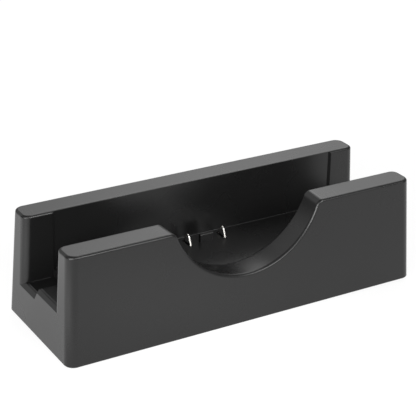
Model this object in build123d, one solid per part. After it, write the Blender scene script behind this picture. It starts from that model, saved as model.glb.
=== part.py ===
from build123d import *
import math
import os

# Charging dock for a clamshell handheld console. Millimetres.
# X runs along the dock, the front faces -Y, Z = 0 is the table under the feet.
# Names ending in _height are measured above the lower rim of the housing.

# Housing, outside
base_length = 125.0
base_depth = 44.0
housing_height = 34.9
end_draft = 3.0
side_draft = 3.2
corner_radius = 3.1
wall = 2.0
edge_radius = 0.9
mouth_radius = 2.6
rim_chamfer = 0.3
foot_drop = 0.8

# Trough for the console
trough_width = 22.4
trough_draft = 0.4
floor_height = 15.6
cheek_length = 9.2
recess_depth = 0.43
recess_run = 1.0
pocket_depth = 2.7
step_foot = 3.2
step_slope = 55.0
step_round = 1.2
lip = 1.0
groove_width = 0.35
groove_depth = 0.4
cove_radius = 0.3

# Finger notch in the front wall
notch_radius = 26.95
notch_draft = 3.4
notch_corner = 2.6
notch_sill = 0.15
notch_offset = -0.45

# Contacts: bent strips that stand through slots in the floor
contact_x = 6.4
contact_y = 7.05
contact_width = 0.4
contact_sheet = 0.3
contact_peak = 4.9
contact_half_span = 2.2
contact_foot_span = 7.2
contact_bend = 0.5
contact_crown = 1.1
contact_gap = 0.1
contact_travel = 1.2
contact_clearance = 0.3
slot_length = 5.4

# Rib between the contacts
rib_length = 4.6
rib_front = 5.65
rib_thickness = 1.25
rib_rise = 2.75
rib_round = 0.45

# Contact springs
spring_radius = 2.6
spring_wire = 0.4
spring_turns = 3.25
spring_flats = 6
spring_gap = 0.03

# Contact carrier
carrier_wall = 0.8
well_clearance = 0.4
carrier_relief = 4.4
carrier_web = 3.6
peg_radius = 0.9
peg_length = 1.4
peg_x = 10.0
peg_y = 3.6
peg_clearance = 0.05

# Circuit board and its screws
board_length = 44.0
board_front = -5.0
board_clearance = 0.5
board_thickness = 1.6
board_top_height = 7.8
board_corner = 1.0
board_screw_x = 17.5
board_screw_y = 7.0
board_boss_radius = 2.5
board_screw_radius = 1.0
board_screw_length = 6.0
board_head_radius = 1.9
board_head_height = 1.3

# Supply inlet
jack_width = 9.0
jack_height = 4.6
jack_gap = 0.25
jack_sheet = 0.3
jack_corner = 0.8
jack_mouth_inset = 0.4
jack_clearance = 0.2
jack_fit = 0.05
insulator_length = 3.0
tongue_width = 5.4
tongue_thickness = 1.0
tongue_inset = 1.2
terminal_x = 1.5
terminal_width = 0.8
terminal_sheet = 0.25
terminal_back = 0.5
terminal_tail = 0.8
terminal_clearance = 0.15

# Fuse beside the inlet
fuse_length = 4.6
fuse_width = 3.2
fuse_height = 1.2
fuse_x = -13.0
fuse_y = 13.5
fuse_edge = 0.25

# Base cover
cover_recess = 0.5
cover_thickness = 2.0
cover_gap = 0.2
upstand_height = 2.0
upstand_sheet = 1.2
pad_radius = 4.0
pad_height = 1.2

# Base screws
base_screw_inset = 22.5
base_screw_y = 7.5
base_boss_radius = 3.0
base_screw_radius = 1.25
base_screw_length = 9.0
base_head_radius = 2.4
base_head_height = 1.6
head_clearance = 0.3
shank_clearance = 0.2
pilot_clearance = 0.04
pilot_spare = 1.0
cross_width = 0.6
cross_depth = 0.7

# Feet
foot_radius = 4.0
foot_recess = 0.8
foot_margin = 1.5
foot_edge = 0.4
foot_clearance = 0.05

rim = foot_drop
sides = (-1, 1)


def slope(degrees):
    return math.tan(math.radians(degrees))


def half_length(height):
    return base_length / 2 - height * slope(end_draft)


def half_depth(height):
    return base_depth / 2 - height * slope(side_draft)


def trough_half(height):
    return trough_width / 2 - (housing_height - height) * slope(trough_draft)


cheek_start = half_length(housing_height) - cheek_length
notch_centre_height = floor_height + notch_sill + notch_radius
step_head = step_foot - pocket_depth / slope(step_slope)


def outline(height, inset=0.0):
    """Plan of the drafted housing at one height, moved in by inset."""
    plan = RectangleRounded(
        2 * (half_length(height) - inset),
        2 * (half_depth(height) - inset),
        corner_radius - inset,
    )
    return Plane.XY.offset(rim + height) * plan


def drafted(low, high, inset=0.0):
    """Solid of the housing's outside between two heights, moved in by inset."""
    return loft([outline(low, inset), outline(high, inset)], ruled=True)


def across(points):
    """Polygon of (Y, height) points."""
    lifted = [(y, rim + height) for y, height in points]
    return make_face(Polyline(*lifted, close=True))


def standing(x, y, low, high, radius):
    """Upright cylinder between two heights."""
    return Pos(x, y, rim + low) * Cylinder(
        radius, high - low, align=(Align.CENTER, Align.CENTER, Align.MIN)
    )


def bar(x_span, y_span, height_span):
    """Box between two values on each axis."""
    return Pos(x_span[0], y_span[0], rim + height_span[0]) * Box(
        x_span[1] - x_span[0],
        y_span[1] - y_span[0],
        height_span[1] - height_span[0],
        align=(Align.MIN, Align.MIN, Align.MIN),
    )


def beyond_trough(side):
    """All space outwards of one long wall face of the trough."""
    low = -wall
    high = housing_height + wall
    points = (
        (side * trough_half(low), low),
        (side * base_depth, low),
        (side * base_depth, high),
        (side * trough_half(high), high),
    )
    return extrude(Plane.YZ * across(points), amount=base_length, both=True)


def notch_section(y):
    """Round opening of the front wall at one Y, flared into the wall's top by two rounded shoulders."""
    radius = notch_radius + (y + trough_half(housing_height)) * slope(notch_draft)
    centre = rim + notch_centre_height
    top = rim + housing_height
    shoulder_z = top - notch_corner
    reach = radius + notch_corner
    shoulder_x = math.sqrt(reach**2 - (centre - shoulder_z) ** 2)
    touch_x = shoulder_x * radius / reach
    touch_z = centre + (shoulder_z - centre) * radius / reach
    turn = math.radians(45) + math.atan2(touch_z - shoulder_z, shoulder_x - touch_x) / 2
    middle_x = shoulder_x - notch_corner * math.cos(turn)
    middle_z = shoulder_z + notch_corner * math.sin(turn)
    roof = top + wall
    edges = [
        ThreePointArc((-shoulder_x, top), (-middle_x, middle_z), (-touch_x, touch_z)),
        ThreePointArc((-touch_x, touch_z), (0, centre - radius), (touch_x, touch_z)),
        ThreePointArc((touch_x, touch_z), (middle_x, middle_z), (shoulder_x, top)),
        Polyline((shoulder_x, top), (shoulder_x, roof), (-shoulder_x, roof), (-shoulder_x, top)),
    ]
    return Pos(notch_offset, 0, 0) * Plane.XZ.offset(-y) * make_face(Curve() + edges)


def notch():
    """Finger notch through the front wall, drafted so that it narrows towards the front."""
    return loft([notch_section(0), notch_section(-base_depth)], ruled=True)


def side_wall(side, opening=None):
    """One long wall of the trough over its full height, with its rounded ends and edges."""
    body = drafted(rim_chamfer, housing_height) & beyond_trough(side)
    if opening:
        body = body - opening
    uprights = body.edges().filter_by(
        lambda edge: edge.length > housing_height / 2
        and abs(edge.center().X) > half_length(housing_height) - wall
    )
    mouths = uprights.sort_by(lambda edge: abs(edge.center().Y))[:2]
    body = fillet(mouths, mouth_radius)
    tops = body.edges().filter_by(Axis.X).group_by(Axis.Z)[-1]
    return fillet(tops, edge_radius)


def back_recess():
    """Shallow relief of the back wall between its two end cheeks."""
    start = floor_height - wall
    face = trough_half(start)
    plan = Polyline(
        (-cheek_start - recess_run, face - recess_depth),
        (-cheek_start + recess_run, face + recess_depth),
        (cheek_start - recess_run, face + recess_depth),
        (cheek_start + recess_run, face - recess_depth),
        close=True,
    )
    return extrude(
        Plane.XY.offset(rim + start) * make_face(plan),
        amount=housing_height,
        dir=(0, slope(trough_draft), 1),
    )


def end_space(x, grow, front, back, top):
    """Space over the floor and its rear pocket at one end, grown into the floor."""
    shift = grow * slope(step_slope / 2)
    points = (
        (front, floor_height - grow),
        (step_head - shift, floor_height - grow),
        (step_foot - shift, floor_height - pocket_depth - grow),
        (back, floor_height - pocket_depth - grow),
        (back, top),
        (front, top),
    )
    return Plane.YZ.offset(x) * across(points)


def end_cut(side, cuts):
    """Ruled cut across one end of the floor, from pairs of (distance from the end, depth)."""
    end = half_length(floor_height)
    sections = [
        end_space(side * (end - distance), depth, -base_depth, base_depth, housing_height)
        for distance, depth in cuts
    ]
    return loft(sections, ruled=True)


def cove(x_span, relief, height):
    """Concave strip where the back wall, set back by relief, meets a floor at one height."""
    run = 2 * cove_radius
    foot = trough_half(height) + relief
    head = trough_half(height + run) + relief
    points = (
        (foot - run, height),
        (foot, height),
        (head, height + run),
        (head + wall / 2, height + run),
        (head + wall / 2, height - wall / 2),
        (foot - run, height - wall / 2),
    )
    section = across(points)
    corner = section.vertices().sort_by_distance((foot, rim + height))[0]
    section = Plane.YZ.offset(x_span[0]) * fillet(corner, cove_radius)
    return extrude(section, amount=x_span[1] - x_span[0])


def floor_block():
    """Everything under the trough, with its two pockets, end lips and the grooves inside them."""
    reach = trough_half(floor_height) + mouth_radius + wall
    body = drafted(rim_chamfer, floor_height) & bar(
        (-base_length, base_length), (-reach, reach), (-wall, housing_height)
    )
    pocket = (
        (step_head - wall / slope(step_slope), floor_height + wall),
        (step_foot, floor_height - pocket_depth),
        (base_depth, floor_height - pocket_depth),
        (base_depth, floor_height + wall),
    )
    for side in sides:
        section = Plane.YZ.offset(side * cheek_start) * across(pocket)
        body = body - extrude(section, amount=side * base_length)
    pocket_middle = (cheek_start + half_length(floor_height)) / 2
    heads = [
        body.edges().sort_by_distance((side * pocket_middle, step_head, rim + floor_height))[0]
        for side in sides
    ]
    body = fillet(heads, step_round)
    recess_end = cheek_start - recess_run
    body = body + cove((-recess_end, recess_end), recess_depth, floor_height)
    cheek_end = half_length(floor_height) - mouth_radius
    body = body + cove((-cheek_end, -cheek_start - recess_run), 0, floor_height - pocket_depth)
    body = body + cove((cheek_start + recess_run, cheek_end), 0, floor_height - pocket_depth)
    chamfered = ((-lip, 2 * lip), (lip, 0))
    grooved = (
        (lip, groove_depth),
        (lip + groove_width, groove_depth),
        (lip + groove_width + groove_depth, 0),
    )
    for side in sides:
        body = body - end_cut(side, chamfered) - end_cut(side, grooved)
    return body


def hollow():
    """Inside of the housing: one skin thickness in from every outer face."""
    space = drafted(-wall, housing_height - wall, wall)
    under = floor_height - wall
    front_low = -trough_half(under) - wall
    front_high = -trough_half(housing_height) - wall
    back_low = trough_half(under) + recess_depth + wall
    back_high = trough_half(housing_height) + recess_depth + wall
    points = (
        (front_low, under),
        (back_low, under),
        (back_high, housing_height),
        (front_high, housing_height),
    )
    space = space - extrude(Plane.YZ * across(points), amount=base_length, both=True)
    for side in sides:
        section = end_space(side * (cheek_start - wall), wall, front_low, back_low, floor_height)
        space = space - extrude(section, amount=side * base_length)
    skin = Cylinder(notch_radius + wall, base_depth, rotation=(90, 0, 0))
    return space - Pos(notch_offset, -base_depth / 2, rim + notch_centre_height) * skin


floor_under = floor_height - wall
cover_top = cover_recess + cover_thickness
cover_half_x = half_length(cover_top) - wall - cover_gap
cover_half_y = half_depth(cover_top) - wall - cover_gap
boss_end = cover_top + pad_height
base_screw_x = base_length / 2 - base_screw_inset
foot_x = cover_half_x - foot_margin - foot_radius
foot_y = cover_half_y - foot_margin - foot_radius
board_under = board_top_height - board_thickness
board_back = half_depth(board_top_height) - wall - board_clearance
foot_reach = contact_foot_span / 2 + contact_clearance
carrier_back = contact_y + foot_reach + carrier_wall
carrier_front = contact_y - foot_reach - carrier_wall
jack_middle = board_top_height + jack_height / 2
jack_mouth = half_depth(jack_middle) - jack_mouth_inset
jack_inner = carrier_back + jack_gap
jack_length = jack_mouth - jack_inner
slot_width = contact_width + 2 * contact_clearance
base_screw_places = [(i * base_screw_x, j * base_screw_y) for i in sides for j in sides]
board_screw_places = [(i * board_screw_x, board_screw_y) for i in sides]
foot_places = [(i * foot_x, j * foot_y) for j in sides for i in sides]
peg_places = [(i * peg_x, peg_y) for i in sides]
contact_places = [(i * contact_x, contact_y) for i in sides]

# Housing
skirt = loft([outline(0, rim_chamfer), outline(rim_chamfer)], ruled=True)
housing = side_wall(-1, notch()) + floor_block() + (side_wall(1) - back_recess())
housing = housing + skirt - hollow()
for x, y in base_screw_places:
    housing = housing + standing(x, y, boss_end, floor_under + wall / 2, base_boss_radius)
for x, y in board_screw_places:
    housing = housing + standing(x, y, board_top_height, floor_under + wall / 2, board_boss_radius)
base_grip = base_screw_length - pad_height - cover_thickness + base_head_height + head_clearance
for x, y in base_screw_places:
    pilot = base_screw_radius + pilot_clearance
    housing = housing - standing(x, y, boss_end, boss_end + base_grip + pilot_spare, pilot)
board_grip = board_screw_length - board_thickness
for x, y in board_screw_places:
    pilot = board_screw_radius + pilot_clearance
    pilot_end = board_top_height + board_grip + pilot_spare
    housing = housing - standing(x, y, board_top_height, pilot_end, pilot)
rib = bar(
    (-rib_length / 2, rib_length / 2),
    (rib_front, rib_front + rib_thickness),
    (floor_height - wall / 2, floor_height + rib_rise),
)
rib = fillet(rib.edges().filter_by(Axis.X).group_by(Axis.Z)[-1], rib_round)
housing = housing + rib
for x, y in contact_places:
    housing = housing - bar(
        (x - slot_width / 2, x + slot_width / 2),
        (y - slot_length / 2, y + slot_length / 2),
        (floor_under - wall, floor_height + wall),
    )
housing = housing - bar(
    (-jack_width / 2 - jack_clearance, jack_width / 2 + jack_clearance),
    (jack_inner, base_depth),
    (board_top_height - jack_clearance, board_top_height + jack_height + jack_clearance),
)

# Base cover
plate = RectangleRounded(2 * cover_half_x, 2 * cover_half_y, corner_radius - wall)
cover = extrude(Plane.XY.offset(rim + cover_recess) * plate, amount=cover_thickness)
upstand_top = cover_top + upstand_height
upstand_half_x = half_length(upstand_top) - wall - cover_gap
upstand_half_y = half_depth(upstand_top) - wall - cover_gap
upstand = RectangleRounded(2 * upstand_half_x, 2 * upstand_half_y, corner_radius - wall)
upstand = upstand - Rectangle(2 * (upstand_half_x - upstand_sheet), 2 * (upstand_half_y - upstand_sheet))
cover = cover + extrude(Plane.XY.offset(rim + cover_top) * upstand, amount=upstand_height)
head_seat = cover_recess + base_head_height + head_clearance
for x, y in base_screw_places:
    cover = cover + standing(x, y, cover_recess, boss_end, pad_radius)
for x, y in base_screw_places:
    cover = cover - standing(x, y, 0, head_seat, base_head_radius + head_clearance)
    cover = cover - standing(x, y, 0, boss_end + wall, base_screw_radius + shank_clearance)
for x, y in foot_places:
    cover = cover - standing(x, y, 0, cover_recess + foot_recess, foot_radius + foot_clearance)


def screw(head_radius, head_height, shank_radius, length):
    """Pan-head self-tapping screw, point up, with the seat of its head at Z = 0."""
    head = Pos(0, 0, -head_height) * Cylinder(
        head_radius, head_height, align=(Align.CENTER, Align.CENTER, Align.MIN)
    )
    head = chamfer(head.edges().group_by(Axis.Z)[0], head_height / 2)
    for turn in (0, 90):
        slot = Box(2 * cross_depth + 2 * cross_width, cross_width, 2 * cross_depth, rotation=(0, 0, turn))
        head = head - Pos(0, 0, -head_height) * slot
    shank = Cylinder(shank_radius, length, align=(Align.CENTER, Align.CENTER, Align.MIN))
    return head + chamfer(shank.edges().group_by(Axis.Z)[-1], shank_radius / 2)


base_screw = screw(base_head_radius, base_head_height, base_screw_radius, base_screw_length)
board_screw = screw(board_head_radius, board_head_height, board_screw_radius, board_screw_length)
base_screws = [Pos(x, y, rim + head_seat) * base_screw for x, y in base_screw_places]
board_screws = [Pos(x, y, rim + board_under) * board_screw for x, y in board_screw_places]

# Feet
foot_height = foot_drop + cover_recess + foot_recess
foot = Cylinder(foot_radius, foot_height, align=(Align.CENTER, Align.CENTER, Align.MIN))
foot = chamfer(foot.edges().group_by(Axis.Z)[0], foot_edge)
feet = [Pos(x, y, 0) * foot for x, y in foot_places]

# Contacts
foot_middle = floor_under - contact_gap - contact_sheet / 2
bend_path = FilletPolyline(
    (-contact_foot_span / 2, rim + foot_middle),
    (-contact_half_span, rim + foot_middle),
    (-contact_half_span, rim + floor_height),
    (0, rim + floor_height + contact_peak),
    (contact_half_span, rim + floor_height),
    (contact_half_span, rim + foot_middle),
    (contact_foot_span / 2, rim + foot_middle),
    radius=(contact_bend, contact_bend, contact_crown, contact_bend, contact_bend),
)
strip = extrude(Plane.YZ * trace(bend_path, contact_sheet), amount=contact_width / 2, both=True)
contacts = [Pos(x, y, 0) * strip for x, y in contact_places]

# Contact springs
spring_low = board_top_height + spring_wire / 2 + spring_gap
spring_high = foot_middle - contact_sheet / 2 - spring_wire / 2 - spring_gap
spring_rise = spring_high - spring_low
coil = Helix(pitch=spring_rise / spring_turns, height=spring_rise, radius=spring_radius)
wire_section = Plane(origin=coil @ 0, z_dir=coil % 0) * RegularPolygon(spring_wire / 2, spring_flats)
spring = sweep(wire_section, path=coil)
springs = [Pos(x, y, rim + spring_low) * spring for x, y in contact_places]

# Contact carrier
well_radius = spring_radius + spring_wire / 2 + well_clearance
carrier_half = contact_x + well_radius + carrier_wall
carrier = bar(
    (-carrier_half, carrier_half), (carrier_front, carrier_back), (board_top_height, floor_under)
)
carrier = carrier - bar(
    (-carrier_relief / 2, carrier_relief / 2),
    (carrier_front + carrier_web, carrier_back + wall),
    (board_under, floor_height),
)
for x, y in contact_places:
    carrier = carrier - standing(x, y, board_under, floor_height, well_radius)
    carrier = carrier - bar(
        (x - slot_width / 2, x + slot_width / 2),
        (y - foot_reach, y + foot_reach),
        (foot_middle - contact_travel - contact_sheet - contact_clearance, floor_height),
    )
for x, y in peg_places:
    carrier = carrier + standing(x, y, board_top_height - peg_length, board_top_height + wall, peg_radius)

# Circuit board
board = bar(
    (-board_length / 2, board_length / 2), (board_front, board_back), (board_under, board_top_height)
)
board = fillet(board.edges().filter_by(Axis.Z), board_corner)
for x, y in board_screw_places:
    board = board - standing(x, y, 0, floor_height, board_screw_radius + shank_clearance)
for x, y in peg_places:
    board = board - standing(x, y, 0, floor_height, peg_radius + peg_clearance)
terminal_y = jack_inner - terminal_back
for side in sides:
    half_x = terminal_width / 2 + terminal_clearance
    half_y = terminal_sheet / 2 + terminal_clearance
    board = board - bar(
        (side * terminal_x - half_x, side * terminal_x + half_x),
        (terminal_y - half_y, terminal_y + half_y),
        (0, floor_height),
    )

# Supply inlet
shell_section = RectangleRounded(jack_width, jack_height, jack_corner)
shell_bore = offset(shell_section, -jack_sheet)
at_mouth = Location((0, jack_mouth, rim + jack_middle), (90, 0, 0))
shell = extrude(at_mouth * (shell_section - shell_bore), amount=jack_length)
plug_body = extrude(at_mouth * offset(shell_bore, -jack_fit), amount=jack_length)
insulator = plug_body & bar(
    (-jack_width, jack_width), (jack_inner, jack_inner + insulator_length), (0, housing_height)
)
insulator = insulator + bar(
    (-tongue_width / 2, tongue_width / 2),
    (jack_inner + insulator_length / 2, jack_mouth - tongue_inset),
    (jack_middle, jack_middle + tongue_thickness),
)
terminals = []
for side in sides:
    span = (side * terminal_x - terminal_width / 2, side * terminal_x + terminal_width / 2)
    slot_span = (span[0] - jack_fit, span[1] + jack_fit)
    insulator = insulator - bar(
        slot_span,
        (0, jack_inner + insulator_length + wall),
        (jack_middle - terminal_sheet - jack_fit, jack_middle),
    )
    leg = (terminal_y - terminal_sheet / 2, terminal_y + terminal_sheet / 2)
    run = bar(span, (leg[0], jack_mouth - 2 * tongue_inset), (jack_middle - terminal_sheet, jack_middle))
    tail = bar(span, leg, (board_under - terminal_tail, jack_middle))
    terminals.append(run + tail)

# Fuse
fuse = Pos(fuse_x, fuse_y, rim + board_top_height) * Box(
    fuse_length, fuse_width, fuse_height, align=(Align.CENTER, Align.CENTER, Align.MIN)
)
fuse = fillet(fuse.edges().group_by(Axis.Z)[-1], fuse_edge)

parts = {
    "upper_housing": housing,
    "base_cover": cover,
    "base_screws": Compound(children=base_screws),
    "circuit_board": board,
    "board_screws": Compound(children=board_screws),
    "contact_carrier": carrier,
    "contact_left": contacts[0],
    "contact_right": contacts[1],
    "contact_spring_left": springs[0],
    "contact_spring_right": springs[1],
    "jack_shell": shell,
    "jack_insulator": insulator,
    "jack_terminal_left": terminals[0],
    "jack_terminal_right": terminals[1],
    "supply_fuse": fuse,
    "foot_front_left": feet[0],
    "foot_front_right": feet[1],
    "foot_rear_left": feet[2],
    "foot_rear_right": feet[3],
}
os.makedirs("parts", exist_ok=True)
for name, shape in parts.items():
    export_step(shape, f"parts/{name}.step")
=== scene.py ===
import bpy
import math
import numpy as np
from mathutils import Matrix, Vector


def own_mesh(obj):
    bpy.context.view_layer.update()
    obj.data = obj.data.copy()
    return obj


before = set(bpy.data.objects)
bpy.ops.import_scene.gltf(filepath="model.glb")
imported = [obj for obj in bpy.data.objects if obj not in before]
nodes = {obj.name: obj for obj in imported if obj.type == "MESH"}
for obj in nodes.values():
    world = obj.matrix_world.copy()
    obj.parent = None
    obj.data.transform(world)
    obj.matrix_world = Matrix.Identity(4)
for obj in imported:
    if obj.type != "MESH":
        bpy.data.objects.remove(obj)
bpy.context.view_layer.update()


# Housing: one hollow shell, injection moulded in black plastic from a finely eroded tool.
# Its walls, floor and screw bosses come out of the mould together, drafted so that they release.
flow_marks_per_metre = 45.0
noise_low, noise_high = 0.3, 0.7


def moulded_plastic(name, dark, light, rough, spread, grain, relief, index):
    """Moulded plastic: a slow noise moves the colour between dark and light and the
    roughness by spread, and a fine noise of grain metres stands relief metres high."""
    material = bpy.data.materials.new(name)
    material.use_nodes = True
    tree = material.node_tree
    shader = tree.nodes["Principled BSDF"]
    place = tree.nodes.new("ShaderNodeTexCoord")
    flow = tree.nodes.new("ShaderNodeTexNoise")
    flow.inputs["Scale"].default_value = flow_marks_per_metre
    flow.inputs["Detail"].default_value = 3.0
    tree.links.new(place.outputs["Object"], flow.inputs["Vector"])
    tint = tree.nodes.new("ShaderNodeMix")
    tint.data_type = "RGBA"
    tint.inputs["A"].default_value = (*dark, 1.0)
    tint.inputs["B"].default_value = (*light, 1.0)
    tree.links.new(flow.outputs["Fac"], tint.inputs["Factor"])
    tree.links.new(tint.outputs["Result"], shader.inputs["Base Color"])
    sheen = tree.nodes.new("ShaderNodeMapRange")
    sheen.inputs["From Min"].default_value = noise_low
    sheen.inputs["From Max"].default_value = noise_high
    sheen.inputs["To Min"].default_value = rough - spread
    sheen.inputs["To Max"].default_value = rough + spread
    tree.links.new(flow.outputs["Fac"], sheen.inputs["Value"])
    tree.links.new(sheen.outputs["Result"], shader.inputs["Roughness"])
    erosion = tree.nodes.new("ShaderNodeTexNoise")
    erosion.inputs["Scale"].default_value = 1.0 / grain
    erosion.inputs["Detail"].default_value = 2.0
    tree.links.new(place.outputs["Object"], erosion.inputs["Vector"])
    bump = tree.nodes.new("ShaderNodeBump")
    bump.inputs["Strength"].default_value = 1.0
    bump.inputs["Distance"].default_value = relief
    tree.links.new(erosion.outputs["Fac"], bump.inputs["Height"])
    tree.links.new(bump.outputs["Normal"], shader.inputs["Normal"])
    shader.inputs["IOR"].default_value = index
    return material


black_plastic = moulded_plastic(
    "black moulded plastic",
    dark=(0.0065, 0.0065, 0.0065),
    light=(0.0085, 0.0085, 0.0085),
    rough=0.28,
    spread=0.02,
    grain=0.00035,
    relief=0.000003,
    index=1.435,
)


def dress(node, finish):
    """The solid itself is shown, with finish in place of its plain material."""
    nodes[node].data.materials.clear()
    nodes[node].data.materials.append(finish)


dress("upper_housing", black_plastic)

# Base cover: flat moulded plate of the same plastic, set inside the housing's rim from below.
# Round seats for the feet and the screw heads are moulded into its outer face.
dress("base_cover", black_plastic)

# Feet: soft round pads punched from rubber sheet.
# They are glued into the round seats of the cover and stand a little proud of it.
rubber = moulded_plastic(
    "rubber pad",
    dark=(0.014, 0.014, 0.014),
    light=(0.024, 0.024, 0.024),
    rough=0.78,
    spread=0.05,
    grain=0.0006,
    relief=0.00003,
    index=1.5,
)
for corner in ("front_left", "front_right", "rear_left", "rear_right"):
    dress("foot_" + corner, rubber)


# Contacts: two strips of nickel-plated spring sheet, bent to a peak that bears on the console.
# Their feet are held under the floor by coil springs of plated wire, which shorten as they are pressed.
drawn_lines_per_metre = 4000.0
tarnished_share = 0.86


def plated_metal(name, colour, rough, streak, along):
    """Plated metal: a noise drawn out along each axis that has a small share in along varies
    the roughness by streak and dulls the colour, as rolling or drawing leaves sheet and wire."""
    material = bpy.data.materials.new(name)
    material.use_nodes = True
    tree = material.node_tree
    shader = tree.nodes["Principled BSDF"]
    shader.inputs["Metallic"].default_value = 1.0
    place = tree.nodes.new("ShaderNodeTexCoord")
    stretch = tree.nodes.new("ShaderNodeMapping")
    stretch.inputs["Scale"].default_value = along
    drawn = tree.nodes.new("ShaderNodeTexNoise")
    drawn.inputs["Scale"].default_value = drawn_lines_per_metre
    drawn.inputs["Detail"].default_value = 2.0
    tree.links.new(place.outputs["Object"], stretch.inputs["Vector"])
    tree.links.new(stretch.outputs["Vector"], drawn.inputs["Vector"])
    wear = tree.nodes.new("ShaderNodeMapRange")
    wear.inputs["To Min"].default_value = rough - streak
    wear.inputs["To Max"].default_value = rough + streak
    tree.links.new(drawn.outputs["Fac"], wear.inputs["Value"])
    tree.links.new(wear.outputs["Result"], shader.inputs["Roughness"])
    tarnish = tree.nodes.new("ShaderNodeMix")
    tarnish.data_type = "RGBA"
    tarnish.inputs["A"].default_value = (*[share * tarnished_share for share in colour], 1.0)
    tarnish.inputs["B"].default_value = (*colour, 1.0)
    tree.links.new(drawn.outputs["Fac"], tarnish.inputs["Factor"])
    tree.links.new(tarnish.outputs["Result"], shader.inputs["Base Color"])
    return material


nickel = plated_metal("nickel-plated strip", (0.78, 0.76, 0.72), 0.24, 0.06, (1.0, 0.15, 0.15))
spring_wire = plated_metal("plated spring wire", (0.62, 0.62, 0.63), 0.3, 0.08, (1.0, 1.0, 0.3))
for side in ("left", "right"):
    contact, spring = "contact_" + side, "contact_spring_" + side
    dress(contact, nickel)
    dress(spring, spring_wire)
    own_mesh(nodes[spring])

# Contact carrier: small block moulded in plain black insulating plastic.
# It stands on the board under the trough floor and guides the contacts and springs.
insulating_plastic = moulded_plastic(
    "insulating plastic",
    dark=(0.013, 0.013, 0.013),
    light=(0.018, 0.018, 0.018),
    rough=0.45,
    spread=0.04,
    grain=0.0005,
    relief=0.000006,
    index=1.55,
)
dress("contact_carrier", insulating_plastic)

# Board: glass laminate under green resist, with the resettable fuse soldered beside the inlet.
# Two small self-tapping screws hold it up against bosses of the housing.
board_resist = moulded_plastic(
    "green board resist",
    dark=(0.02, 0.12, 0.06),
    light=(0.035, 0.18, 0.09),
    rough=0.38,
    spread=0.05,
    grain=0.0009,
    relief=0.00001,
    index=1.5,
)
fuse_body = moulded_plastic(
    "fuse body",
    dark=(0.18, 0.1, 0.02),
    light=(0.25, 0.15, 0.04),
    rough=0.55,
    spread=0.05,
    grain=0.0004,
    relief=0.00001,
    index=1.5,
)
dark_zinc = plated_metal("dark zinc plate", (0.34, 0.34, 0.36), 0.36, 0.08, (1.0, 1.0, 0.4))
dress("circuit_board", board_resist)
dress("supply_fuse", fuse_body)
dress("board_screws", dark_zinc)

# Base screws: four pan-head self-tapping screws in dark zinc plate.
# Their heads sit below the cover's face.
dress("base_screws", dark_zinc)

# Supply inlet: shell folded from plated sheet round a moulded insulator with a flat tongue.
# Two gold-flashed terminals run along the tongue and down through the board.
shell_plate = plated_metal("plated inlet sheet", (0.68, 0.68, 0.69), 0.28, 0.07, (1.0, 0.2, 1.0))
gold_flash = plated_metal("gold-flashed strip", (0.83, 0.62, 0.28), 0.25, 0.05, (1.0, 0.2, 1.0))
dress("jack_shell", shell_plate)
dress("jack_insulator", insulating_plastic)
for side in ("left", "right"):
    dress("jack_terminal_" + side, gold_flash)

# Table: wide sheet of translucent white plastic that the dock stands on, lit from below.
# Most of its white is this glow, so that the shadow on it stays faint. Three painted pools of light in
# the glow brighten it behind and before the left end of the dock, and in front of it, for the dock to
# reflect.
reach = 3.0
ends = np.linspace(-reach, reach, 2)
across, deep = np.meshgrid(ends, ends)
corners = np.stack([across.ravel(), deep.ravel(), np.zeros(across.size)], -1)
sheet = bpy.data.meshes.new("table")
sheet.from_pydata(corners.tolist(), [], [(0, 1, 3, 2)])
table = bpy.data.objects.new("table", sheet)
bpy.context.scene.collection.objects.link(table)
white = bpy.data.materials.new("white table")
white.use_nodes = True
white_tree = white.node_tree
paint = white_tree.nodes["Principled BSDF"]
sheet_grey = 0.15
paint.inputs["Base Color"].default_value = (sheet_grey, sheet_grey, sheet_grey, 1.0)
paint.inputs["Roughness"].default_value = 0.9
paint.inputs["Specular IOR Level"].default_value = 0.0
paint.inputs["Emission Color"].default_value = (1.0, 1.0, 1.0, 1.0)
even_glow = 0.85
# painted pools of light in the sheet's glow, not lamps, each placed to be seen in reflection on the
# dock
painted_light_patches = (
    # middle in x and y, spread, strength
    (-0.150, 0.055, 0.035, 1.2),  # for the left end face
    (-0.120, -0.030, 0.022, 1.2),  # for the round corner beside it
    (-0.015, -0.065, 0.030, 0.3),  # for the front wall's left half
)


def arithmetic(tree, operation, first, second):
    """Value of a Math node on first, a socket, and second, a socket or a number."""
    node = tree.nodes.new("ShaderNodeMath")
    node.operation = operation
    tree.links.new(first, node.inputs[0])
    if isinstance(second, bpy.types.NodeSocket):
        tree.links.new(second, node.inputs[1])
    else:
        node.inputs[1].default_value = second
    return node.outputs["Value"]


def added_up(tree, start, parts):
    """Sum of the number start and all the sockets in parts."""
    total = start
    for part in parts:
        total = arithmetic(tree, "ADD", part, total)
    return total


def painted_light_patch(tree, spot, x, y, spread, strength):
    """Painted pool of light in the sheet's glow, fading from (x, y) as strength times exp(-(distance /
    spread)^2 / 2).
    """
    away = tree.nodes.new("ShaderNodeVectorMath")
    away.operation = "DISTANCE"
    away.inputs[1].default_value = (x, y, 0.0)
    tree.links.new(spot, away.inputs[0])
    squared = arithmetic(tree, "POWER", away.outputs["Value"], 2.0)
    fade = arithmetic(tree, "MULTIPLY", squared, -0.5 / spread**2)
    bell = tree.nodes.new("ShaderNodeMath")
    bell.operation = "EXPONENT"
    tree.links.new(fade, bell.inputs[0])
    return arithmetic(tree, "MULTIPLY", bell.outputs["Value"], strength)


spot = white_tree.nodes.new("ShaderNodeTexCoord").outputs["Object"]
painted_patches = [painted_light_patch(white_tree, spot, *patch) for patch in painted_light_patches]
white_tree.links.new(added_up(white_tree, even_glow, painted_patches), paint.inputs["Emission Strength"])
sheet.materials.append(white)

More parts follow.
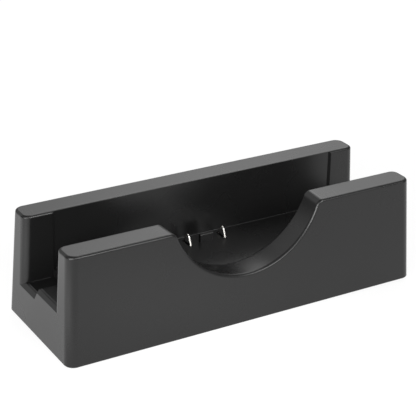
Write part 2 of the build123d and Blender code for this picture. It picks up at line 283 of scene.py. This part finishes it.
# Studio: an even pale surround with soft lamps in it, as in a light tent.
# The key stands in front. The others edge the walls and the notch, or shine on the top faces.
even_surround = 0.3
soft_lamps = (
    # bearing clockwise from straight behind and height, in degrees, tightness, strength
    (160, 32, 60, 13.0),  # key, in front on the right
    (188, 34, 60, 6.0),  # fill beside the key
    (222, 22, 60, 15.0),  # edge light, in front on the left
    (246, 13, 50, 13.0),  # low edge light on the left
    (328, 24, 30, 0.6),  # behind on the left
    (350, 38, 40, 0.5),  # straight behind, on the notch's slope
    (34, 36, 40, 3.5),  # behind on the right, on the top faces
    (60, 60, 60, 3.0),  # high on the right, on the rounds of the top edges
)


def soft_lamp(tree, way, bearing, height, tightness, strength):
    """Light of strength times the cosine of the angle from the lamp's middle, to the power
    of tightness, and none at more than a right angle from it."""
    bearing, height = math.radians(bearing), math.radians(height)
    level = math.cos(height)
    lamp = tree.nodes.new("ShaderNodeVectorMath")
    lamp.operation = "DOT_PRODUCT"
    lamp.inputs[1].default_value = (
        math.sin(bearing) * level,
        math.cos(bearing) * level,
        math.sin(height),
    )
    tree.links.new(way, lamp.inputs[0])
    facing = arithmetic(tree, "MAXIMUM", lamp.outputs["Value"], 0.0)
    soft = arithmetic(tree, "POWER", facing, tightness)
    return arithmetic(tree, "MULTIPLY", soft, strength)


world = bpy.data.worlds.new("light tent")
bpy.context.scene.world = world
world.use_nodes = True
tent = world.node_tree
way = tent.nodes.new("ShaderNodeTexCoord").outputs["Generated"]
lamps = [soft_lamp(tent, way, *lamp) for lamp in soft_lamps]
tent.links.new(added_up(tent, even_surround, lamps), tent.nodes["Background"].inputs["Color"])

# Camera: long lens in front of the dock's left corner, above the table and looking down.
# It is rolled by about a degree, as when held by hand.
turn, tilt, roll = math.radians(-31.07), math.radians(24.6), math.radians(1.277)
standpoint = (-0.2094, -0.3422, 0.2140)
level_part = math.cos(tilt)
back = Vector((math.sin(turn) * level_part, -math.cos(turn) * level_part, math.sin(tilt)))
right = Vector((math.cos(turn), math.sin(turn), 0.0))
up = back.cross(right)
image_right = math.cos(roll) * right + math.sin(roll) * up
image_up = math.cos(roll) * up - math.sin(roll) * right
lens = bpy.data.cameras.new("camera")
lens.lens = 121.4
lens.sensor_width = 36.0
lens.clip_start = 0.01
lens.clip_end = 20.0
camera = bpy.data.objects.new("camera", lens)
bpy.context.scene.collection.objects.link(camera)
facing = Matrix((image_right, image_up, back)).transposed()
camera.matrix_world = Matrix.Translation(standpoint) @ facing.to_4x4()
bpy.context.scene.camera = camera
bpy.context.scene.view_settings.view_transform = "Standard"
